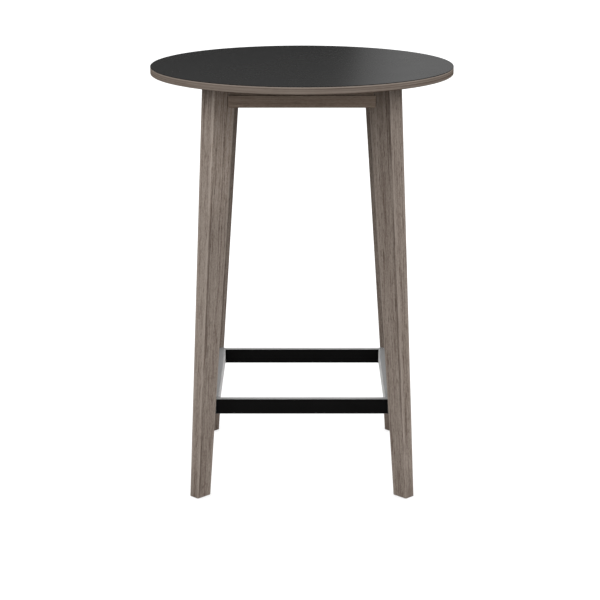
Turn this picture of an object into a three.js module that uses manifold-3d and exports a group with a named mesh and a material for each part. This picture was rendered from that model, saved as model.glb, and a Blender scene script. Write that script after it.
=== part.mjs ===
// A standing-height round meeting table. A laminated disc rests on four tapered legs that lean
// outwards along the diagonals. Four aprons and corner blocks tie the legs together under the top,
// a square frame of black tube makes a foot rail, and each leg stands on a screw-in glide.
// Sizes are in millimetres, +Z is up, and the origin is on the floor under the table's centre.
import * as THREE from "three";
import { mergeVertices } from "three/addons/utils/BufferGeometryUtils.js";
import Module from "manifold-3d";

const wasm = await Module();
wasm.setup();

// Overall sizes
const tableHeight = 1110;
const topDiameter = 800;

// Clearances
const seatGap = 0.3; // between a piece and the neighbour it is fitted against
const glueLine = 0.1; // between the board and the band glued around it
const mitreGap = 0.3; // between two foot rails where they meet

// Tabletop layers, from the face down
const laminateThickness = 0.8;
const laminateChamfer = 0.4;
const coreThickness = 18;
const backingThickness = 0.8;
const edgeBandThickness = 2;
const edgeBandRounding = 1;
const undersideHeight = tableHeight - laminateThickness - coreThickness - backingThickness;

// Legs: reach is the distance from the table's centre line to the leg's centre, depth is measured
// along the diagonal and width across it
const legFootReach = 381.7;
const legTopReach = 297.2;
const legFootDepth = 45.4;
const legTopDepth = 75.7;
const legFootWidth = 31.6;
const legTopWidth = 47.8;
const legEdgeRadius = 2.5;
const legFloorGap = 2; // the glide pads hold the wood this far off the floor

// Aprons, with a set-back upper half that leaves a shadow gap under the top
const apronHeight = 61.5;
const apronThickness = 20;
const apronLip = 32; // height of the part that stands forward
const apronSetBack = 6;
const apronRounding = 8; // on the lower outer edge
const apronEdge = 0.5; // on the other visible edges

// Corner blocks behind the legs
const blockDepth = 48;
const blockLift = 3; // the block stops this far above the aprons' lower edge

// Leg bolts and the cross nut bar that they screw into
const boltDiameter = 8;
const boltHeadDiameter = 16;
const boltHeadHeight = 5;
const boltSocketWidth = 5;
const boltSocketDepth = 3;
const boltChamfer = 1;
const boltSpacing = 30;
const boltEngagement = 10; // how far the tip passes the middle of the nut bar
const nutBarDiameter = 14;
const nutBarLength = 50;

// Screws that hold the top down on the corner blocks
const screwDiameter = 5;
const screwHeadDiameter = 10;
const screwHeadHeight = 3;
const screwHeadRounding = 1;
const screwBite = 12; // how far the screw enters the board
const screwSpread = 34; // sideways from the diagonal
const screwInset = 16; // from the block's inner face

// Foot rails: rectangular tube, with a flat cut on the frame's corners for the stud blocks
const railTopHeight = 258.8;
const railHeight = 40;
const railThickness = 20;
const railWall = 1.5;
const railEdgeRadius = 2;
const studFlat = 20;
const studBlockDepth = 5; // at the top of the rail, where the leaning leg is nearest
const studPinDiameter = 10;
const studPinLength = 22; // inside the leg

// Levelling glides
const padDiameter = 24;
const padHeight = 6;
const padRounding = 1.5;
const padFloor = 2; // plastic left under the stem
const stemDiameter = 8;
const stemGrip = 18; // thread still in the socket when the glide is screwed right out
const collarWidth = 13; // across the flats of the hexagon
const collarHeight = 4;
const socketDiameter = 12;
const socketLength = 22;
const glideTravel = 10;

// Facets on round shapes
const topSegments = 96;
const padSegments = 24;
const roundSegments = 16;
const edgeSegments = 3;

// Derived leg shape
const alongLeg = (foot, top) => (height) => foot + ((top - foot) * height) / undersideHeight;
const legReach = alongLeg(legFootReach, legTopReach);
const legDepth = alongLeg(legFootDepth, legTopDepth);
const legWidth = alongLeg(legFootWidth, legTopWidth);
const legInnerFace = (height) => legReach(height) - legDepth(height) / 2;

// Derived positions of the aprons: their inner faces run through the legs' inner edges
const apronBottom = undersideHeight - apronHeight;
const apronMiddle = undersideHeight - apronHeight / 2;
const apronInner = (legInnerFace(apronMiddle) + legWidth(apronMiddle) / 2) * Math.SQRT1_2;
const apronOuter = apronInner + apronThickness;

// Derived positions of the corner blocks and their fasteners
const blockBottom = apronBottom + blockLift;
const blockInner = legInnerFace(apronMiddle) - blockDepth;
const boltHeights = { upper: apronMiddle + boltSpacing / 2, lower: apronMiddle - boltSpacing / 2 };
const nutBarReach = legReach(apronMiddle);
const screwReach = blockInner + screwInset;
const screwTip = undersideHeight + backingThickness + screwBite;

// Derived positions of the foot rails: the frame's cut corners stop short of the legs' inner faces
const railBottomHeight = railTopHeight - railHeight;
const railMiddleHeight = railTopHeight - railHeight / 2;
const studBlockInner = legInnerFace(railTopHeight) - seatGap - studBlockDepth;
const railCornerCut = studBlockInner - seatGap;
const railOuter = (railCornerCut + studFlat / 2) * Math.SQRT1_2;
const railInner = railOuter - railThickness;
const studPinTip = legInnerFace(railMiddleHeight) + studPinLength;

// Derived heights inside the glides, from the floor up
const collarBottom = padHeight + seatGap;
const collarTop = collarBottom + collarHeight;
const socketBottom = collarTop + seatGap;
const stemBottom = padFloor + seatGap;
const stemTop = socketBottom + stemGrip + glideTravel;

// Corners and sides of the table in turning order, each a quarter turn about Z from the last one
const quarterTurn = Math.PI / 2;
const cornerNames = ["front_right", "rear_right", "rear_left", "front_left"];
const sideNames = ["front", "right", "rear", "left"];
const cornerTurn = (number) => (number - 0.5) * quarterTurn;
const sideTurn = (number) => number * quarterTurn;

// Turning between three.js geometry and solids that can be cut
const mergeDistance = 1e-4;

function toSolid(geometry) {
  const bare = geometry.clone();
  bare.deleteAttribute("normal");
  bare.deleteAttribute("uv");
  const merged = mergeVertices(bare, mergeDistance);
  const vertProperties = new Float32Array(merged.attributes.position.array);
  const triVerts = new Uint32Array(merged.index.array);
  return new wasm.Manifold(new wasm.Mesh({ numProp: 3, vertProperties, triVerts }));
}

function toGeometry(solid) {
  const mesh = solid.getMesh();
  const indexed = new THREE.BufferGeometry();
  indexed.setAttribute("position", new THREE.BufferAttribute(mesh.vertProperties, mesh.numProp));
  indexed.setIndex(new THREE.BufferAttribute(mesh.triVerts, 1));
  const faceted = indexed.toNonIndexed();
  faceted.computeVertexNormals();
  return faceted;
}

function cut(body, tools) {
  const start = toSolid(body);
  return toGeometry(tools.reduce((left, tool) => left.subtract(toSolid(tool)), start));
}

function join(body, other) {
  return toGeometry(toSolid(body).add(toSolid(other)));
}

// Basic shapes
const at = (x, y, z) => new THREE.Vector3(x, y, z);
const acrossCorners = (acrossFlats) => (acrossFlats * 2) / Math.sqrt(3);
const holeFor = (diameter) => diameter + 2 * seatGap;

// A round bar between two points
function rod(start, end, diameter, segments = roundSegments) {
  const axis = end.clone().sub(start);
  const bar = new THREE.CylinderGeometry(diameter / 2, diameter / 2, axis.length(), segments);
  const swing = new THREE.Quaternion().setFromUnitVectors(at(0, 1, 0), axis.clone().normalize());
  bar.applyQuaternion(swing);
  const middle = start.clone().add(end).multiplyScalar(0.5);
  return bar.translate(middle.x, middle.y, middle.z);
}

// An upright hexagonal prism, sized across its flats
function hexagon(acrossFlats, bottom, top) {
  return rod(at(0, 0, bottom), at(0, 0, top), acrossCorners(acrossFlats), 6);
}

// A body of revolution about Z, from [radius, height] pairs given upwards along its outside
function lathe(profile, segments = roundSegments) {
  const points = profile.map(([radius, height]) => new THREE.Vector2(radius, height));
  return new THREE.LatheGeometry(points, segments).rotateX(Math.PI / 2);
}

// A body between two outlines of equally many points, one above the other
function loft(lower, lowerHeight, upper, upperHeight) {
  const count = lower.length;
  const ring = (outline, height) => outline.flatMap((point) => [point.x, point.y, height]);
  const positions = [...ring(lower, lowerHeight), ...ring(upper, upperHeight)];
  const triangles = [];
  for (let i = 0; i < count; i += 1) {
    const next = (i + 1) % count;
    triangles.push(i, next, count + next, i, count + next, count + i);
  }
  for (const [a, b, c] of THREE.ShapeUtils.triangulateShape(lower, [])) {
    triangles.push(c, b, a, count + a, count + b, count + c);
  }
  const geometry = new THREE.BufferGeometry();
  geometry.setAttribute("position", new THREE.Float32BufferAttribute(positions, 3));
  geometry.setIndex(triangles);
  return geometry;
}

// An upright prism over an outline in plan
function prism(outline, bottom, top) {
  return loft(outline, bottom, outline, top);
}

// A bar along X from an outline across it: the outline's x and y become the bar's Y and Z
function bar(shape, length) {
  const settings = { depth: length, bevelEnabled: false, curveSegments: edgeSegments };
  const geometry = new THREE.ExtrudeGeometry(shape, settings).translate(0, 0, -length / 2);
  return geometry.applyMatrix4(new THREE.Matrix4().makeBasis(at(0, 1, 0), at(0, 0, 1), at(1, 0, 0)));
}

function roundedRectangle(left, right, bottom, top, radius, Kind = THREE.Shape) {
  const outline = new Kind();
  outline.absarc(right - radius, top - radius, radius, 0, Math.PI / 2);
  outline.absarc(left + radius, top - radius, radius, Math.PI / 2, Math.PI);
  outline.absarc(left + radius, bottom + radius, radius, Math.PI, Math.PI * 1.5);
  outline.absarc(right - radius, bottom + radius, radius, Math.PI * 1.5, Math.PI * 2);
  return outline;
}

function rectangle(left, right, bottom, top) {
  const corner = (x, y) => new THREE.Vector2(x, y);
  return [corner(left, bottom), corner(right, bottom), corner(right, top), corner(left, top)];
}

// Materials
const finish = (color, roughness, metalness) => () =>
  new THREE.MeshStandardMaterial({ color, roughness, metalness });
const darkLaminate = finish("#393938", 0.45, 0);
const greyOak = finish("#7a6e66", 0.6, 0);
const bareBeech = finish("#b89b78", 0.65, 0);
const board = finish("#9c8468", 0.8, 0);
const backing = finish("#4a4845", 0.7, 0);
const blackPaint = finish("#0e0d0d", 0.3, 0.2);
const zincSteel = finish("#a9abad", 0.35, 0.9);
const blackPlastic = finish("#1a1a1b", 0.6, 0);

// Tabletop
const topRadius = topDiameter / 2;
const coreRadius = topRadius - edgeBandThickness - glueLine;
const coreBottom = undersideHeight + backingThickness;
const coreTop = coreBottom + coreThickness;

function laminateSheet() {
  const profile = [
    [0, coreTop],
    [topRadius, coreTop],
    [topRadius, tableHeight - laminateChamfer],
    [topRadius - laminateChamfer, tableHeight],
    [0, tableHeight],
  ];
  return lathe(profile, topSegments);
}

function edgeBand() {
  const inner = topRadius - edgeBandThickness;
  const profile = [
    [inner, undersideHeight],
    [topRadius - edgeBandRounding, undersideHeight],
    [topRadius, undersideHeight + edgeBandRounding],
    [topRadius, coreTop],
    [inner, coreTop],
    [inner, undersideHeight],
  ];
  return lathe(profile, topSegments);
}

function disc(bottom, top) {
  const profile = [
    [0, bottom],
    [coreRadius, bottom],
    [coreRadius, top],
    [0, top],
  ];
  return lathe(profile, topSegments);
}

// One hole for each top screw, from under the table into the board
function screwHoles() {
  const end = screwTip + seatGap;
  return cornerNames.flatMap((name, number) =>
    [-screwSpread, screwSpread].map((side) =>
      rod(at(screwReach, side, apronBottom), at(screwReach, side, end), holeFor(screwDiameter))
        .rotateZ(cornerTurn(number)),
    ),
  );
}

const core = () => cut(disc(coreBottom, coreTop), screwHoles());
const backingSheet = () => cut(disc(undersideHeight, coreBottom), screwHoles());

// Legs and what sits in them. These are drawn with the diagonal along X and turned afterwards.
function legOutline(height) {
  const half = legDepth(height) / 2;
  const side = legWidth(height) / 2;
  const reach = legReach(height);
  const shape = roundedRectangle(reach - half, reach + half, -side, side, legEdgeRadius);
  return shape.extractPoints(edgeSegments).shape;
}

function leg() {
  const body = loft(legOutline(legFloorGap), legFloorGap, legOutline(undersideHeight), undersideHeight);
  const foot = legReach(0);
  const below = legFloorGap - seatGap;
  const upright = (bottom, top, diameter) => rod(at(foot, 0, bottom), at(foot, 0, top), diameter);
  const radial = (height, end, diameter) => rod(at(blockInner, 0, height), at(end, 0, height), diameter);
  const nutBottom = apronMiddle - nutBarLength / 2 - seatGap;
  const aboveTop = undersideHeight + seatGap;
  const boltEnd = nutBarReach + boltEngagement + seatGap;
  return cut(body, [
    upright(below, padHeight + seatGap, holeFor(padDiameter)),
    upright(below, socketBottom, holeFor(acrossCorners(collarWidth))),
    upright(below, socketBottom + socketLength + seatGap, holeFor(socketDiameter)),
    upright(below, stemTop + seatGap, holeFor(stemDiameter)),
    radial(railMiddleHeight, studPinTip + seatGap, holeFor(studPinDiameter)),
    radial(boltHeights.upper, boltEnd, holeFor(boltDiameter)),
    radial(boltHeights.lower, boltEnd, holeFor(boltDiameter)),
    rod(at(nutBarReach, 0, nutBottom), at(nutBarReach, 0, aboveTop), holeFor(nutBarDiameter)),
  ]);
}

function nutBar() {
  const bottom = apronMiddle - nutBarLength / 2;
  const body = rod(at(nutBarReach, 0, bottom), at(nutBarReach, 0, bottom + nutBarLength), nutBarDiameter);
  const across = Object.values(boltHeights).map((height) =>
    rod(at(blockInner, 0, height), at(nutBarReach + nutBarDiameter, 0, height), holeFor(boltDiameter)),
  );
  return cut(body, across);
}

function bolt(height) {
  const length = nutBarReach + boltEngagement - blockInner;
  const face = -boltHeadHeight - seatGap;
  const profile = [
    [0, face],
    [boltHeadDiameter / 2 - boltChamfer, face],
    [boltHeadDiameter / 2, face + boltChamfer],
    [boltHeadDiameter / 2, -seatGap],
    [boltDiameter / 2, -seatGap],
    [boltDiameter / 2, length - boltChamfer],
    [boltDiameter / 2 - boltChamfer, length],
    [0, length],
  ];
  const socket = hexagon(boltSocketWidth, face - seatGap, face + boltSocketDepth);
  const upright = cut(lathe(profile), [socket]);
  return upright.rotateY(Math.PI / 2).translate(blockInner, 0, height);
}

// The corner block fills the angle between two aprons and backs the leaning inner face of the leg
function blockOutline(height) {
  const outer = legInnerFace(height) - seatGap;
  const sideAt = (reach) => (apronInner - seatGap) * Math.SQRT2 - reach;
  const corner = (reach, side) => new THREE.Vector2(reach, side);
  return [
    corner(blockInner, -sideAt(blockInner)),
    corner(outer, -sideAt(outer)),
    corner(outer, sideAt(outer)),
    corner(blockInner, sideAt(blockInner)),
  ];
}

function cornerBlock() {
  const body = loft(blockOutline(blockBottom), blockBottom, blockOutline(undersideHeight), undersideHeight);
  const below = blockBottom - seatGap;
  const above = undersideHeight + seatGap;
  const boltHoles = Object.values(boltHeights).map((height) =>
    rod(at(blockInner - seatGap, 0, height), at(nutBarReach, 0, height), holeFor(boltDiameter)),
  );
  const topHoles = [-screwSpread, screwSpread].map((side) =>
    rod(at(screwReach, side, below), at(screwReach, side, above), holeFor(screwDiameter)),
  );
  return cut(body, [...boltHoles, ...topHoles]);
}

function topScrew(side) {
  const headTop = blockBottom - seatGap;
  const profile = [
    [0, headTop - screwHeadHeight],
    [screwHeadDiameter / 2 - screwHeadRounding, headTop - screwHeadHeight],
    [screwHeadDiameter / 2, headTop - screwHeadHeight + screwHeadRounding],
    [screwHeadDiameter / 2, headTop],
    [screwDiameter / 2, headTop],
    [screwDiameter / 2, screwTip - screwDiameter],
    [0, screwTip],
  ];
  return lathe(profile).translate(screwReach, side, 0);
}

// The stud is welded on the cut corner of the rail frame; its pin enters the leg
function studOutline(height) {
  return rectangle(studBlockInner, legInnerFace(height) - seatGap, -studFlat / 2, studFlat / 2);
}

function railStud() {
  const block = loft(
    studOutline(railBottomHeight),
    railBottomHeight,
    studOutline(railTopHeight),
    railTopHeight,
  );
  const middle = (studBlockInner + legInnerFace(railMiddleHeight)) / 2;
  const pin = rod(at(middle, 0, railMiddleHeight), at(studPinTip, 0, railMiddleHeight), studPinDiameter);
  return join(block, pin);
}

// Glides: the pad stands on the floor, the stem turns in it and screws into the socket
function glidePad() {
  const radius = padDiameter / 2;
  const bore = stemDiameter / 2 + seatGap;
  const profile = [
    [0, 0],
    [radius - padRounding, 0],
    [radius, padRounding],
    [radius, padHeight],
    [bore, padHeight],
    [bore, padFloor],
    [0, padFloor],
  ];
  return lathe(profile, padSegments).translate(legReach(0), 0, 0);
}

function glideStem() {
  const shaft = rod(at(0, 0, stemBottom), at(0, 0, stemTop), stemDiameter);
  const collar = hexagon(collarWidth, collarBottom, collarTop);
  return join(shaft, collar).translate(legReach(0), 0, 0);
}

function glideSocket() {
  const bore = stemDiameter / 2 + seatGap;
  const profile = [
    [bore, socketBottom],
    [socketDiameter / 2, socketBottom],
    [socketDiameter / 2, socketBottom + socketLength],
    [bore, socketBottom + socketLength],
    [bore, socketBottom],
  ];
  return lathe(profile).translate(legReach(0), 0, 0);
}

// Aprons and foot rails. These are drawn along the front side and turned afterwards.

// A slot as wide as the leg, running along the diagonal at one corner
function legSlot(number) {
  const outline = (height) => {
    const half = legWidth(height) / 2 + seatGap;
    return rectangle(0, topRadius, -half, half);
  };
  const bottom = apronBottom - apronHeight;
  const top = undersideHeight + apronHeight;
  return loft(outline(bottom), bottom, outline(top), top).rotateZ(cornerTurn(number));
}

function apron() {
  const outer = -apronOuter;
  const inner = -apronInner;
  const back = outer + apronSetBack;
  const lipTop = apronBottom + apronLip;
  const shape = new THREE.Shape();
  shape.moveTo(inner - apronEdge, apronBottom);
  shape.lineTo(inner, apronBottom + apronEdge);
  shape.lineTo(inner, undersideHeight);
  shape.lineTo(back, undersideHeight);
  shape.lineTo(back, lipTop);
  shape.lineTo(outer + apronEdge, lipTop);
  shape.lineTo(outer, lipTop - apronEdge);
  shape.absarc(
    outer + apronRounding,
    apronBottom + apronRounding,
    apronRounding,
    Math.PI,
    Math.PI * 1.5,
  );
  const blank = bar(shape, apronInner + apronOuter);
  return cut(blank, [legSlot(0), legSlot(-1)]);
}

// Plan of a front foot rail: mitred along both diagonals, with the frame's corners cut flat
function railPlan() {
  const margin = railThickness / 4;
  const outerEdge = (railOuter + margin) * Math.SQRT2;
  const innerEdge = (railInner - margin) * Math.SQRT2;
  const onRight = (reach, side) =>
    new THREE.Vector2((reach + side) * Math.SQRT1_2, (side - reach) * Math.SQRT1_2);
  const right = [
    onRight(railCornerCut, railCornerCut - outerEdge),
    onRight(railCornerCut, -mitreGap / 2),
    onRight(innerEdge, -mitreGap / 2),
  ];
  const left = right.map((point) => new THREE.Vector2(-point.x, point.y));
  return [...right, ...left.reverse()];
}

function footRail() {
  const box = [-railOuter, -railInner, railBottomHeight, railTopHeight];
  const section = roundedRectangle(...box, railEdgeRadius);
  const inset = [box[0] + railWall, box[1] - railWall, box[2] + railWall, box[3] - railWall];
  section.holes.push(roundedRectangle(...inset, railEdgeRadius / 2, THREE.Path));
  const tube = bar(section, 2 * railOuter);
  const plan = prism(railPlan(), railBottomHeight - railHeight, railTopHeight + railHeight);
  return toGeometry(toSolid(tube).intersect(toSolid(plan)));
}

// The assembly
const table = new THREE.Group();
table.name = "standing_meeting_table";

function place(name, geometry, material, turn = 0) {
  const mesh = new THREE.Mesh(geometry, material());
  mesh.name = name;
  mesh.rotation.z = turn;
  table.add(mesh);
}

place("top_laminate", laminateSheet(), darkLaminate);
place("tabletop_core", core(), board);
place("backing_laminate", backingSheet(), backing);
place("edge_band", edgeBand(), greyOak);

cornerNames.forEach((corner, number) => {
  const turn = cornerTurn(number);
  place(`${corner}_leg`, leg(), greyOak, turn);
  place(`${corner}_corner_block`, cornerBlock(), bareBeech, turn);
  place(`${corner}_nut_bar`, nutBar(), zincSteel, turn);
  place(`${corner}_upper_bolt`, bolt(boltHeights.upper), zincSteel, turn);
  place(`${corner}_lower_bolt`, bolt(boltHeights.lower), zincSteel, turn);
  place(`${corner}_top_screw_a`, topScrew(-screwSpread), zincSteel, turn);
  place(`${corner}_top_screw_b`, topScrew(screwSpread), zincSteel, turn);
  place(`${corner}_rail_stud`, railStud(), blackPaint, turn);
  place(`${corner}_glide_socket`, glideSocket(), zincSteel, turn);
  place(`${corner}_glide_stem`, glideStem(), zincSteel, turn);
  place(`${corner}_glide_pad`, glidePad(), blackPlastic, turn);
});

sideNames.forEach((side, number) => {
  const turn = sideTurn(number);
  place(`${side}_apron`, apron(), greyOak, turn);
  place(`${side}_foot_rail`, footRail(), blackPaint, turn);
});

export default table;
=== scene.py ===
"""Looks of the standing meeting table: materials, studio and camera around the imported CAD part."""

import math

import bpy
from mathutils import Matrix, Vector


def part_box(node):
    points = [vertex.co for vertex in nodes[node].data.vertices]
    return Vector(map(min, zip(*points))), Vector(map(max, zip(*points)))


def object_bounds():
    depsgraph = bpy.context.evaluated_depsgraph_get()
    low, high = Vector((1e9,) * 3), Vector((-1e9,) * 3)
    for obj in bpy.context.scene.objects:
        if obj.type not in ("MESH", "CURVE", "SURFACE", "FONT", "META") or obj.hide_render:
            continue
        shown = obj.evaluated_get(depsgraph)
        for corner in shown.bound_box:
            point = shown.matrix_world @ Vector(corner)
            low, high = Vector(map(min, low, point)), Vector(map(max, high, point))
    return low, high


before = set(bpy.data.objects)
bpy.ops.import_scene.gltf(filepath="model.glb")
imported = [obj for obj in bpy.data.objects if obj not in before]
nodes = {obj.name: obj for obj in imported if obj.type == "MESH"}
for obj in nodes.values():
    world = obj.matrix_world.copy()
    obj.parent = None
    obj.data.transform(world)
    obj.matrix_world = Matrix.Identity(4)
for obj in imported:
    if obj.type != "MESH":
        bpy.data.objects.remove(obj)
cad_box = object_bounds()

# Each corner by the signs of its x and y, and each side by the way its apron and rail run
CORNERS = {
    "front_right": (1, -1),
    "rear_right": (1, 1),
    "rear_left": (-1, 1),
    "front_left": (-1, -1),
}
SIDES = {"front": (1, 0), "right": (0, 1), "rear": (-1, 0), "left": (0, -1)}
UP = Vector((0.0, 0.0, 1.0))


class Graph:
    """A node tree being filled: add() makes a node, sets its sockets and links what is a socket."""

    def __init__(self, tree):
        self.tree = tree
        tree.nodes.clear()

    def add(self, kind, settings=None, **sockets):
        """A new node; a socket is named with _ for each space, or as _0, _1 and so on by its place."""
        node = self.tree.nodes.new(kind)
        for name, value in (settings or {}).items():
            setattr(node, name, value)
        for name, value in sockets.items():
            key = int(name[1:]) if name[0] == "_" else name.replace("_", " ")
            self.put(node.inputs[key], value)
        return node

    def put(self, socket, value):
        if isinstance(value, bpy.types.NodeSocket):
            self.tree.links.new(value, socket)
        else:
            socket.default_value = value

    def math(self, operation, a, b=0.0, c=0.0):
        node = self.add("ShaderNodeMath", {"operation": operation}, _0=a, _1=b, _2=c)
        return node.outputs[0]

    def plus(self, a, b):
        return self.math("ADD", a, b)

    def minus(self, a, b):
        return self.math("SUBTRACT", a, b)

    def times(self, a, b):
        return self.math("MULTIPLY", a, b)

    def size(self, value):
        return self.math("ABSOLUTE", value)

    def line(self, value, slope, base):
        return self.math("MULTIPLY_ADD", value, slope, base)

    def vary(self, noise, amount, base):
        """The base, moved up and down by a noise that lies around a half."""
        return self.line(self.minus(noise, 0.5), amount, base)

    def point(self):
        """The place on the part, in metres in the part's frame."""
        return self.add("ShaderNodeTexCoord").outputs["Object"]

    def split(self, vector):
        return self.add("ShaderNodeSeparateXYZ", _0=vector).outputs

    def combine(self, x, y, z):
        return self.add("ShaderNodeCombineXYZ", X=x, Y=y, Z=z).outputs[0]

    def vector_math(self, operation, a, b):
        return self.add("ShaderNodeVectorMath", {"operation": operation}, _0=a, _1=b)

    def dot(self, vector, direction):
        return self.vector_math("DOT_PRODUCT", vector, tuple(direction)).outputs["Value"]

    def scaled(self, vector, factors):
        return self.vector_math("MULTIPLY", vector, factors).outputs[0]

    def noise(self, vector, scale, detail, roughness):
        sockets = {"Vector": vector, "Scale": scale, "Detail": detail, "Roughness": roughness}
        return self.add("ShaderNodeTexNoise", **sockets).outputs[0]

    def ramp(self, value, stops):
        node = self.add("ShaderNodeValToRGB", Fac=value)
        points = node.color_ramp.elements
        while len(points) < len(stops):
            points.new(0.5)
        for point, (position, colour) in zip(points, stops):
            point.position = position
            point.color = (*colour, 1.0)
        return node.outputs["Color"]

    def steps(self, value, low, high, to_low=0.0, to_high=1.0):
        """Maps low to high onto to_low to to_high, and holds those values beyond the ends."""
        node = self.add("ShaderNodeMapRange", _0=value, _1=low, _2=high, _3=to_low, _4=to_high)
        return node.outputs[0]

    def mix(self, factor, a, b, blend="MIX"):
        node = self.add("ShaderNodeMix", {"data_type": "RGBA", "blend_type": blend})
        self.put(node.inputs[0], factor)
        self.put(node.inputs[6], a)
        self.put(node.inputs[7], b)
        return node.outputs[2]

    def dimmed(self, colour, level):
        return self.mix(1.0, colour, self.combine(level, level, level), "MULTIPLY")


def grey(value):
    return (value, value, value, 1.0)


def background_rays(graph):
    """1 for the rays that see the plain background: from the camera, and by gloss or through glass."""
    path = graph.add("ShaderNodeLightPath")
    seen = graph.math("MAXIMUM", path.outputs["Is Camera Ray"], path.outputs["Is Glossy Ray"])
    return graph.math("MAXIMUM", seen, path.outputs["Is Transmission Ray"])


def material(name):
    made = bpy.data.materials.new(name)
    made.use_nodes = True
    return made, Graph(made.node_tree)


BEVEL = {"samples": 6}
EDGE_TURN = (1.0, 0.86)  # cosine of the turn at an edge: none, and enough to count as an edge
EDGE_REACH = 0.003  # metres from an edge that show wear on wood and laminate, and a painted highlight on wood


def close(graph, rounding, height, relief, **surface):
    """Finishes a material: edges rounded in the shading, relief with its strength and depth, surface."""
    edge = graph.add("ShaderNodeBevel", BEVEL, Radius=rounding)
    strength, depth = relief
    bump = graph.add("ShaderNodeBump", Strength=strength, Distance=depth, Height=height)
    graph.put(bump.inputs["Normal"], edge.outputs[0])
    body = graph.add("ShaderNodeBsdfPrincipled", Normal=bump.outputs[0], **surface)
    graph.add("ShaderNodeOutputMaterial", Surface=body.outputs[0])


def edge_mask(graph, radius):
    """1 on the object's edges and 0 on its flats."""
    edge = graph.add("ShaderNodeBevel", BEVEL, Radius=radius)
    flat = graph.add("ShaderNodeNewGeometry")
    turn = graph.vector_math("DOT_PRODUCT", edge.outputs[0], flat.outputs["Normal"])
    return graph.steps(turn.outputs["Value"], *EDGE_TURN)


# Wood: colours from the darkest pore to the palest fibre
OAK = [
    (0.0, (0.088, 0.066, 0.053)),
    (0.36, (0.178, 0.140, 0.117)),
    (0.60, (0.258, 0.217, 0.186)),
    (1.0, (0.350, 0.305, 0.268)),
]
BEECH = [
    (0.0, (0.30, 0.20, 0.125)),
    (0.4, (0.42, 0.30, 0.19)),
    (0.65, (0.50, 0.365, 0.24)),
    (1.0, (0.56, 0.42, 0.28)),
]
MAIN_STOP = 2  # the stop that gives a palette its main colour


def darkest(palette):
    return (*palette[0][1], 1.0)


def palest(palette, factor=1.0):
    return (*(factor * value for value in palette[-1][1]), 1.0)


def shaded(palette, factors, contrast=1.0):
    """The palette times a colour, with its stops drawn towards its main colour."""
    main = palette[MAIN_STOP][1]
    stops = []
    for place, colour in palette:
        drawn = [m + (c - m) * contrast for c, m in zip(colour, main)]
        stops.append((place, tuple(c * f for c, f in zip(drawn, factors))))
    return stops


# Layers of the figure: a factor on the length along the fibres, and the scale, detail and roughness of
# the noise
LAYERS = {
    "tone": (0.02, 70.0, 1.0, 0.5),
    "streak": (0.007, 420.0, 2.0, 0.55),
    "fibre": (0.05, 900.0, 2.0, 0.6),
    "dashes": (0.09, 480.0, 1.0, 0.5),
    "fleck": (0.45, 420.0, 2.0, 0.6),
    "pores": (0.12, 1100.0, 2.0, 0.5),
    "contour": (0.03, 75.0, 2.0, 0.45),
}
MAIN_TONE = 0.62  # place on the palette that the layers vary
WEIGHTS = {"tone": 0.55, "streak": 0.8, "fibre": 0.45, "fleck": 0.7}
DASHES, DASH_WEIGHT = (0.52, 0.76), -0.4
VEIN_CONTOUR, VEIN_WIDTH, VEIN_WEIGHT = 0.53, 0.03, -0.34
PORES, PORE_WEIGHT = (0.56, 0.70), 0.5
FIBRE_HEIGHT, PORE_HEIGHT = 0.4, -0.7  # in the relief, where the streaks count as 1
WANDER, WANDER_WIDTH = (0.2, 8.0, 1.0, 0.5), 0.012  # slow bends of the fibres: a layer, and metres
SEED_SHIFTS = (0.71, 1.37, 3.17)  # metres across, across and along per unit of a seed
NOISE_SPAN = (0.3, 0.7)  # where most values of a noise lie
WOOD_ROUGHNESS = (0.66, 0.54)
WOOD_ROUNDING, WOOD_RELIEF, WOOD_GLOSS = 0.0012, (0.25, 0.0004), 0.08


def figure(graph, place, layer):
    along, *noise = layer
    return graph.noise(graph.scaled(place, (1.0, 1.0, along)), *noise)


def grain(graph, along, across_a, across_b, palette, seed, stretch=1.0):
    """Colour, relief and roughness of wood from coordinates along and across its fibres, in metres."""
    shift = graph.line(along, 1.0 / stretch, seed * SEED_SHIFTS[2])
    side_a = graph.plus(across_a, seed * SEED_SHIFTS[0])
    side_b = graph.plus(across_b, seed * SEED_SHIFTS[1])
    wander = figure(graph, graph.combine(side_a, side_b, shift), WANDER)
    wander = graph.times(graph.minus(wander, 0.5), WANDER_WIDTH)
    place = graph.combine(graph.plus(side_a, wander), graph.minus(side_b, wander), shift)

    layers = {name: figure(graph, place, layer) for name, layer in LAYERS.items()}
    blend = MAIN_TONE
    for name, weight in WEIGHTS.items():
        blend = graph.vary(layers[name], weight, blend)
    blend = graph.line(graph.steps(layers["dashes"], *DASHES), DASH_WEIGHT, blend)
    from_vein = graph.size(graph.minus(layers["contour"], VEIN_CONTOUR))
    blend = graph.line(graph.steps(from_vein, VEIN_WIDTH, 0.0), VEIN_WEIGHT, blend)
    colour = graph.ramp(blend, palette)
    pore = graph.steps(layers["pores"], *PORES)
    colour = graph.mix(graph.times(pore, PORE_WEIGHT), colour, darkest(palette))
    relief = graph.line(pore, PORE_HEIGHT, layers["streak"])
    relief = graph.line(layers["fibre"], FIBRE_HEIGHT, relief)
    rough = graph.steps(layers["streak"], *NOISE_SPAN, *WOOD_ROUGHNESS)
    return colour, relief, rough


def close_wood(graph, colour, relief, rough):
    surface = {"Base_Color": colour, "Roughness": rough, "Specular_IOR_Level": WOOD_GLOSS}
    close(graph, WOOD_ROUNDING, relief, WOOD_RELIEF, **surface)


SEAM_SHADE_SPAN, SEAM_SHADE_STRENGTH = (0.0016, 0.0006), 0.75  # metres from the end at which the seam's painted shade starts and is full
SEAM_SHADE_COLOUR = (0.03, 0.022, 0.017, 1.0)


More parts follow.
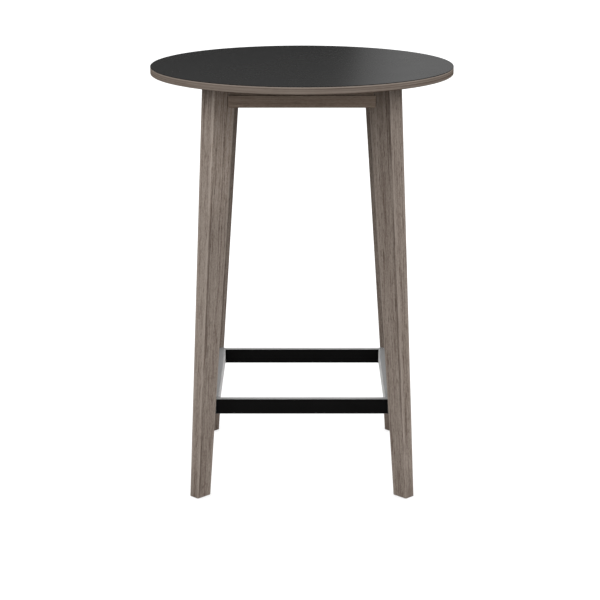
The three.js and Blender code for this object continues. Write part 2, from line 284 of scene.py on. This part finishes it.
def wood(name, origin, along, palette, seed, wear_and_highlight=0.45, seam=None):
    """Wood with level fibres along a direction, with edges paler by wear and painted highlight; seam is
    where its end seams lie, which get a painted shade line.
    """
    made, graph = material(name)
    axis = Vector(along).normalized()
    side = axis.cross(UP).normalized()
    other = axis.cross(side)
    point = graph.vector_math("SUBTRACT", graph.point(), tuple(origin)).outputs[0]
    length = graph.dot(point, axis)
    across = (graph.dot(point, side), graph.dot(point, other))
    colour, relief, rough = grain(graph, length, *across, palette, seed)
    # Edges paler by wear and a painted highlight
    edge = graph.times(edge_mask(graph, EDGE_REACH), wear_and_highlight)
    colour = graph.mix(edge, colour, palest(palette))
    if seam:
        # Painted shade line at the ends, where the apron meets the leg
        ends = graph.steps(graph.size(length), seam - SEAM_SHADE_SPAN[0], seam - SEAM_SHADE_SPAN[1])
        colour = graph.mix(graph.times(ends, SEAM_SHADE_STRENGTH), colour, SEAM_SHADE_COLOUR)
    close_wood(graph, colour, relief, rough)
    return made


# Legs: distances in metres, strengths as shares, and heights as shares of the leg where that is said
END_SLICE = 0.006  # the points of a leg's end lie within this of it
SKIN = (0.0026, 0.001)  # depth under a face at which its mask starts and is full
# Share by which a leg's edges are paler: wear and a painted highlight
LEG_WEAR_AND_HIGHLIGHT = 0.4
DRIFT, BREAKS = (7.0, 2.0, 0.5), (14.0, 3.0, 0.6)  # noises along the height
ARRIS_HIGHLIGHT_SPAN, ARRIS_HIGHLIGHT_STRENGTH = (0.0095, 0.004), (0.1, 0.75)  # painted highlight, on the outer face along its arrises
LINE_INSET, LINE_DRIFT, LINE_WIDTH = 0.0055, 0.012, (0.0042, 0.0012)  # dark vein on a side
LINE_BREAKS, LINE_STRENGTH = (0.38, 0.58), (0.45, 0.85)
LINE_ENDS = (0.04, 0.03)  # a vein fades from this far outside its end to this far inside it
HEAD_LIGHT_SPAN = (0.66, 0.8)  # shares of the height over which the painted light and shade at the head come in
FOOT_SHADE_HEIGHT, FOOT_SHADE_STRENGTH, FOOT_SHADE_ON_SIDE = 0.085, 0.42, -0.75  # painted shade at the foot, weaker on the sides
INNER_ARRIS_HIGHLIGHT, INNER_ARRIS_HIGHLIGHT_STRENGTH = (0.0065, 0.003), 0.5  # painted highlight, on a side along its inner arris
INNER_SHADE_SPAN, INNER_SHADE_STRENGTH = (0.15, 0.45), (0.12, 0.28)  # painted shade on the inner face, by the share from mid-height


def leg_wood(name, leg, x, y, palette, seed, veins, head_light):
    """Wood of a leg: arrises paler by wear and painted highlight, dark veins beside the outer ones, and
    painted shade on the inner face and at the foot.

    veins lists the heights that each vein runs between, with its strength; head_light says how pale the
    outer face and the sides are at the head, painted light and shade, where 1 is as at the foot.
    """
    made, graph = material(name)
    out = Vector((x, y, 0.0)).normalized()
    aside = Vector((-y, x, 0.0)).normalized()
    points = [vertex.co for vertex in nodes[leg].data.vertices]
    levels = (min(point.z for point in points), max(point.z for point in points))
    ends = [[point for point in points if abs(point.z - level) < END_SLICE] for level in levels]
    outer = [max(point.dot(out) for point in end) for end in ends]
    inner = [min(point.dot(out) for point in end) for end in ends]
    half = [max(abs(point.dot(aside)) for point in end) for end in ends]
    foot, head = (out * (outer[i] + inner[i]) / 2 + UP * levels[i] for i in (0, 1))
    axis = (head - foot).normalized()

    spot = graph.point()
    height = graph.dot(spot, UP)
    share = graph.steps(height, *levels)
    reach = graph.dot(spot, out)
    offset = graph.dot(spot, aside)
    outer_here, inner_here, half_here = (
        graph.line(share, at_head - at_foot, at_foot) for at_foot, at_head in (outer, inner, half)
    )
    inset = graph.minus(outer_here, reach)
    depth = graph.minus(reach, inner_here)
    margin = graph.minus(half_here, graph.size(offset))
    on_outer, on_side, on_inner = (graph.steps(under, *SKIN) for under in (inset, margin, depth))

    across = graph.dot(spot, axis.cross(aside))
    colour, relief, rough = grain(graph, graph.dot(spot, axis), offset, across, palette, seed)
    pale, dark = palest(palette), darkest(palette)
    # Edges paler by wear and a painted highlight
    colour = graph.mix(graph.times(edge_mask(graph, EDGE_REACH), LEG_WEAR_AND_HIGHLIGHT), colour, pale)
    drift = graph.noise(graph.combine(seed, 0.0, height), *DRIFT)
    # Painted highlight on the outer face along its arrises, varied along the height
    arris_highlight = graph.times(on_outer, graph.steps(margin, *ARRIS_HIGHLIGHT_SPAN))
    arris_highlight = graph.times(arris_highlight, graph.steps(drift, *NOISE_SPAN, *ARRIS_HIGHLIGHT_STRENGTH))
    colour = graph.mix(arris_highlight, colour, pale)

    from_line = graph.size(graph.vary(drift, LINE_DRIFT, graph.minus(inset, LINE_INSET)))
    vein = graph.times(on_side, graph.steps(from_line, *LINE_WIDTH))
    breaks = graph.noise(graph.combine(0.0, seed, height), *BREAKS)
    vein = graph.times(vein, graph.steps(breaks, *LINE_BREAKS, *LINE_STRENGTH))
    runs = 0.0
    outside, inside = LINE_ENDS
    for low, high, strength in veins:
        begun = graph.steps(height, low - outside, low + inside, 0.0, strength)
        run = graph.times(begun, graph.steps(height, high + outside, high - inside))
        runs = graph.math("MAXIMUM", runs, run)
    colour = graph.mix(graph.times(vein, runs), colour, dark)

    # Painted light and shade at the head: the outer face and sides lightened or darkened there
    outer_head_light, side_head_light = head_light
    tone = graph.line(on_side, side_head_light - outer_head_light, outer_head_light - 1.0)
    colour = graph.dimmed(colour, graph.line(tone, graph.steps(share, *HEAD_LIGHT_SPAN), 1.0))
    # Painted shade at the foot, darker towards the floor and weaker on the sides
    foot_shade = graph.steps(height, FOOT_SHADE_HEIGHT, 0.0, 0.0, FOOT_SHADE_STRENGTH)
    colour = graph.mix(graph.times(graph.line(on_side, FOOT_SHADE_ON_SIDE, 1.0), foot_shade), colour, dark)
    # Painted highlight along each side's inner arris
    rim = graph.times(on_side, graph.steps(depth, *INNER_ARRIS_HIGHLIGHT))
    colour = graph.mix(graph.times(rim, INNER_ARRIS_HIGHLIGHT_STRENGTH), colour, pale)
    # Painted shade on the inner face, stronger towards the head and the foot
    from_middle = graph.size(graph.minus(share, 0.5))
    inner_shade = graph.times(on_inner, graph.steps(from_middle, *INNER_SHADE_SPAN, *INNER_SHADE_STRENGTH))
    close_wood(graph, graph.mix(inner_shade, colour, dark), relief, rough)
    return made


# Edge band: its fibres are this much longer, and it has a pale line, a painted highlight, and a glue line
# below its upper edge
BAND_STRETCH = 24.0
BAND_ROUNDING, BAND_RELIEF = 0.0008, (0.2, 0.0003)
PALE_LINE, PALE_STRENGTH, PALE_FACTOR = (0.0045, 0.0022), 0.75, 1.3
GLUE_LINE, GLUE_STRENGTH, GLUE_COLOUR = (0.0011, 0.0007), 0.9, (0.006, 0.005, 0.005, 1.0)


def banded_wood(name, radius, top, palette, seed):
    """Matt wood-look band around a disc: fibres around the rim, with the joint at the rear."""
    made, graph = material(name)
    x, y, z = graph.split(graph.point())
    angle = graph.math("ARCTAN2", x, graph.times(y, -1.0))
    around = graph.times(angle, radius)
    out = graph.math("SQRT", graph.plus(graph.times(x, x), graph.times(y, y)))
    colour, relief, rough = grain(graph, around, z, out, palette, seed, BAND_STRETCH)
    # Painted highlight along the band's upper edge
    wear_and_highlight = graph.times(graph.steps(z, top - PALE_LINE[0], top - PALE_LINE[1]), PALE_STRENGTH)
    colour = graph.mix(wear_and_highlight, colour, palest(palette, PALE_FACTOR))
    glue = graph.times(graph.steps(z, top - GLUE_LINE[0], top - GLUE_LINE[1]), GLUE_STRENGTH)
    colour = graph.mix(glue, colour, GLUE_COLOUR)
    surface = {"Base_Color": colour, "Roughness": rough, "Specular_IOR_Level": 0.0}
    close(graph, BAND_ROUNDING, relief, BAND_RELIEF, **surface)
    return made


# Other finishes: each has its noises, colours and roughness in one place
def laminate(name, base, roughness, specular):
    """A matt laminate sheet with a fine pressed texture, faint handling marks and a dark, dull rim."""
    made, graph = material(name)
    point = graph.point()
    fine = graph.noise(point, 2600.0, 2.0, 0.6)
    broad = graph.noise(point, 7.0, 4.0, 0.6)
    level = graph.vary(fine, 0.25, graph.vary(broad, 0.1, 1.0))
    colour = graph.dimmed((*base, 1.0), level)
    edge = edge_mask(graph, EDGE_REACH)
    colour = graph.mix(graph.times(edge, 0.85), colour, grey(0.003))
    rough = graph.steps(broad, *NOISE_SPAN, roughness - 0.012, roughness + 0.012)
    rough = graph.line(edge, 0.5, rough)
    surface = {"Base_Color": colour, "Roughness": rough, "Specular_IOR_Level": specular}
    close(graph, 0.0005, fine, (0.06, 0.0002), **surface)
    return made


def black_paint(name):
    """Smooth black paint with slight orange peel and lighter worn edges."""
    made, graph = material(name)
    point = graph.point()
    peel = graph.noise(point, 420.0, 2.0, 0.5)
    dust = graph.noise(point, 18.0, 5.0, 0.65)
    colour = graph.ramp(dust, [(0.3, (0.0009, 0.0008, 0.0008)), (0.75, (0.0021, 0.002, 0.002))])
    edge = graph.times(edge_mask(graph, 0.0011), 0.35)
    surface = {
        "Base_Color": graph.mix(edge, colour, grey(0.02)),
        "Roughness": graph.steps(dust, 0.3, 0.75, 0.40, 0.48),
        "Specular_Tint": grey(0.03),
        "Sheen_Weight": 1.0,
        "Sheen_Roughness": 0.345,
    }
    close(graph, 0.001, peel, (0.02, 0.0001), **surface)
    return made


def zinc(name):
    """Zinc-plated steel with turning marks and dull patches."""
    made, graph = material(name)
    point = graph.point()
    cloud = graph.noise(point, 160.0, 4.0, 0.6)
    fine = graph.noise(graph.scaled(point, (1.0, 1.0, 6.0)), 900.0, 2.0, 0.5)
    colour = graph.ramp(cloud, [(0.3, (0.36, 0.37, 0.38)), (0.7, (0.56, 0.57, 0.58))])
    rough = graph.steps(cloud, *NOISE_SPAN, 0.45, 0.28)
    close(graph, 0.0004, fine, (0.1, 0.0002), Base_Color=colour, Metallic=1.0, Roughness=rough)
    return made


def fibreboard(name):
    """Raw board with fine flakes."""
    made, graph = material(name)
    flake = graph.noise(graph.point(), 800.0, 4.0, 0.7)
    colour = graph.ramp(flake, [(0.3, (0.20, 0.145, 0.092)), (0.7, (0.36, 0.27, 0.18))])
    close(graph, 0.0005, flake, (0.3, 0.0004), Base_Color=colour, Roughness=0.85)
    return made


def plastic(name):
    """Black moulded plastic with a gritty surface."""
    made, graph = material(name)
    grit = graph.noise(graph.point(), 1500.0, 3.0, 0.6)
    colour = graph.ramp(grit, [(0.3, (0.008, 0.008, 0.0085)), (0.7, (0.018, 0.018, 0.019))])
    rough = graph.steps(grit, *NOISE_SPAN, 0.5, 0.7)
    close(graph, 0.0006, grit, (0.2, 0.0003), Base_Color=colour, Roughness=rough)
    return made


def dress(name, finish):
    data = nodes[name].data
    data.materials.clear()
    data.materials.append(finish)


# The top
TOP_RADIUS = (cad_box[1].x - cad_box[0].x) / 2
BAND_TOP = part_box("edge_band")[1].z
BAND_OAK, BAND_SEED = shaded(OAK, (0.71, 0.7, 0.69)), 3.1
dress("top_laminate", laminate("charcoal_laminate", (0.0185, 0.0185, 0.0183), 0.27, 0.08))
dress("backing_laminate", laminate("backing_sheet", (0.055, 0.052, 0.049), 0.6, 0.2))
dress("tabletop_core", fibreboard("raw_board"))
dress("edge_band", banded_wood("edge_oak", TOP_RADIUS, BAND_TOP, BAND_OAK, BAND_SEED))

# The corners: each leg's seed, its veins, and the painted light and shade at its head, in the order of
# CORNERS
paint = black_paint("rail_black")
steel = zinc("zinc_steel")
pad = plastic("pad_black")
LEGS = (
    (1.0, ((0.235, 0.77, 0.75), (0.91, 1.06, 1.0)), (0.95, 0.97)),
    (2.9, ((0.05, 0.4, 0.8),), (1.0, 1.0)),
    (4.8, ((0.55, 0.9, 0.8),), (1.0, 1.0)),
    (6.7, ((0.0, 0.225, 1.0), (0.41, 0.76, 0.7)), (1.08, 1.36)),
)
BLOCK_SEED = 4.0
FASTENERS = ("nut_bar", "upper_bolt", "lower_bolt", "top_screw_a", "top_screw_b")
STEEL_PIECES = (*FASTENERS, "glide_socket", "glide_stem")
for number, (corner, (x, y)) in enumerate(CORNERS.items()):
    leg = corner + "_leg"
    dress(leg, leg_wood(corner + "_oak", leg, x, y, OAK, *LEGS[number]))
    low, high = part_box(corner + "_corner_block")
    block_wood = wood(corner + "_beech", (low + high) / 2, (-y, x, 0.0), BEECH, BLOCK_SEED + number)
    dress(corner + "_corner_block", block_wood)
    for piece in STEEL_PIECES:
        dress(f"{corner}_{piece}", steel)
    dress(corner + "_rail_stud", paint)
    dress(corner + "_glide_pad", pad)

# The sides: an apron's end seams lie where the face that stands forward ends, and get a painted shade
# line
# The aprons' oak is a paler, warmer copy of the legs' with less contrast: painted light and warm bounce
# under the top
APRON_OAK_PAINTED_LIGHT = shaded(OAK, (1.08, 1.02, 0.965), 0.55)
APRON_SEED, APRON_SEED_STEP, APRON_WEAR_AND_HIGHLIGHT = 9.0, 1.3, 0.1
FACE_SLICE = 0.0005
for number, (side, (x, y)) in enumerate(SIDES.items()):
    low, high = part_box(side + "_apron")
    middle = (low + high) / 2
    along = Vector((x, y, 0.0))
    outward = Vector((y, -x, 0.0))
    points = [vertex.co for vertex in nodes[side + "_apron"].data.vertices]
    face = max(point.dot(outward) for point in points)
    on_face = [point for point in points if point.dot(outward) > face - FACE_SLICE]
    seam = max(abs((point - middle).dot(along)) for point in on_face)
    seed = APRON_SEED + number * APRON_SEED_STEP
    apron = wood(side + "_apron_oak", middle, along, APRON_OAK_PAINTED_LIGHT, seed, APRON_WEAR_AND_HIGHLIGHT, seam)
    dress(side + "_apron", apron)
    dress(side + "_foot_rail", paint)


# Studio
def staged(name, points, faces, finish):
    """A mesh that isn't part of the object."""
    mesh = bpy.data.meshes.new(name)
    mesh.from_pydata(points, [], faces)
    obj = bpy.data.objects.new(name, mesh)
    bpy.context.scene.collection.objects.link(obj)
    mesh.materials.append(finish)
    return obj


def square(half):
    return [(-half, -half), (half, -half), (half, half), (-half, half)]


# A pale floor that shows white to the camera but bounces little light
QUAD = [(0, 1, 2, 3)]
FLOOR_HALF = 60.0
FLOOR_SEEN, FLOOR_LIFT, FLOOR_BOUNCE = 0.42, 0.6, (0.165, 0.15, 0.137, 1.0)
floor_pale, graph = material("floor_pale")
seen = graph.add("ShaderNodeBsdfDiffuse", Color=grey(FLOOR_SEEN))
lift = graph.add("ShaderNodeEmission", Color=grey(1.0), Strength=FLOOR_LIFT)
shown = graph.add("ShaderNodeAddShader", _0=seen.outputs[0], _1=lift.outputs[0])
bounce = graph.add("ShaderNodeBsdfDiffuse", Color=FLOOR_BOUNCE)
choice = graph.add("ShaderNodeMixShader", _1=bounce.outputs[0], _2=shown.outputs[0])
graph.put(choice.inputs[0], background_rays(graph))
graph.add("ShaderNodeOutputMaterial", Surface=choice.outputs[0])
staged("floor", [(x, y, 0) for x, y in square(FLOOR_HALF)], QUAD, floor_pale)

# A sky that is brightest half-way up, dimmer overhead and behind, and dim near the horizon except in
# front; a span is given by its two ends, and then by the levels there
SKY_FRONT = (0.2, -0.98, 0.0)
FRONT_GLOW = (0.6, 0.98, 0.3, 1.4)
SKY_RISE = (0.3, 0.75, 1.3, 2.35)
OVERHEAD_LOSS = (0.8, 1.0, 0.0, 1.5)
HORIZON = (0.3, 0.0)
LEAN = (0.3, 0.9)  # factor on the level: its slope towards the front, and its middle
world = bpy.data.worlds.new("studio")
world.use_nodes = True
bpy.context.scene.world = world
graph = Graph(world.node_tree)
direction = graph.add("ShaderNodeTexCoord").outputs["Generated"]
_, rearward, height = graph.split(direction)
low = graph.steps(graph.dot(direction, SKY_FRONT), *FRONT_GLOW)
high = graph.minus(graph.steps(height, *SKY_RISE), graph.steps(height, *OVERHEAD_LOSS))
level = graph.line(graph.steps(height, *HORIZON), graph.minus(low, high), high)
level = graph.times(level, graph.line(graph.times(rearward, -1.0), *LEAN))
strength = graph.line(background_rays(graph), graph.minus(1.0, level), level)
sky = graph.add("ShaderNodeBackground", Color=grey(1.0), Strength=strength)
graph.add("ShaderNodeOutputWorld", Surface=sky.outputs[0])


# Cards that only gloss sees: dark walls around the top, paler to the right, for its sheen; a bright board
# behind the foot rails and a dim one on the floor behind them
def card(name, points, faces, glow):
    """Glowing boards; glow is their strength, or a function that makes it from the place on them."""
    finish, graph = material(name)
    strength = glow(graph) if callable(glow) else glow
    light = graph.add("ShaderNodeEmission", Color=grey(1.0), Strength=strength)
    graph.add("ShaderNodeOutputMaterial", Surface=light.outputs[0])
    board = staged(name, points, faces, finish)
    board.visible_camera = False
    board.visible_diffuse = False
    board.visible_shadow = False
    board.visible_transmission = False


SHEEN = [(0.1, 0.062), (0.16, 0.088), (0.2, 0.235), (0.24, 0.3), (0.28, 0.365), (0.36, 0.45)]
SHEEN_HEIGHT, SHEEN_SLANT = 1.29, 0.14  # where SHEEN's places hold, and their shift per metre of height
SHEEN_RISE = (1.17, 1.45, -0.06, 0.06)  # heights, and what they add to the strength


def sheen(graph):
    """The glow of the walls: SHEEN lists places from left to right, in metres, with their strengths."""
    across, _, height = graph.split(graph.point())
    slanted = graph.plus(across, graph.times(graph.minus(height, SHEEN_HEIGHT), SHEEN_SLANT))
    glow = graph.ramp(slanted, [(place, (value, value, value)) for place, value in SHEEN])
    return graph.plus(glow, graph.steps(height, *SHEEN_RISE))


RAIL_GLOW, FLOOR_GLOW = 2.9, 0.22
FAR = 1.3  # from the middle of the table to the walls
WALL_HEIGHTS = (1.13, 2.6)
WALLS = [(x, y, z) for z in WALL_HEIGHTS for x, y in square(FAR)]
card("top_cards", WALLS, [(i, (i + 1) % 4, (i + 1) % 4 + 4, i + 4) for i in range(4)], sheen)
RAIL_CARD = [(-4, FAR, 0.3), (4, FAR, 0.3), (4, FAR, 1.09), (-4, FAR, 1.09)]
card("rail_card", RAIL_CARD, QUAD, RAIL_GLOW)
FLOOR_CARD = [(-2, 0.42, 0.002), (2, 0.42, 0.002), (2, FAR, 0.002), (-2, FAR, 0.002)]
card("floor_card", FLOOR_CARD, QUAD, FLOOR_GLOW)

# Camera, as fitted to the photograph
PIXELS = 600
FOCAL_PIXELS = 1838.257
SHIFT_PIXELS = -1.929
CAMERA_PLACE = (0.0, -4.85149, 1.769797)
CAMERA_TILT = 0.2626115  # radians down from level
camera = bpy.data.cameras.new("camera")
camera.sensor_fit = "HORIZONTAL"
camera.sensor_width = 36.0
camera.lens = FOCAL_PIXELS / PIXELS * camera.sensor_width
camera.shift_x = SHIFT_PIXELS / PIXELS
camera.clip_end = 200.0
viewer = bpy.data.objects.new("camera", camera)
viewer.location = CAMERA_PLACE
viewer.rotation_euler = (math.pi / 2 - CAMERA_TILT, 0.0, 0.0)
bpy.context.scene.collection.objects.link(viewer)
bpy.context.scene.camera = viewer
bpy.context.scene.view_settings.view_transform = "Standard"
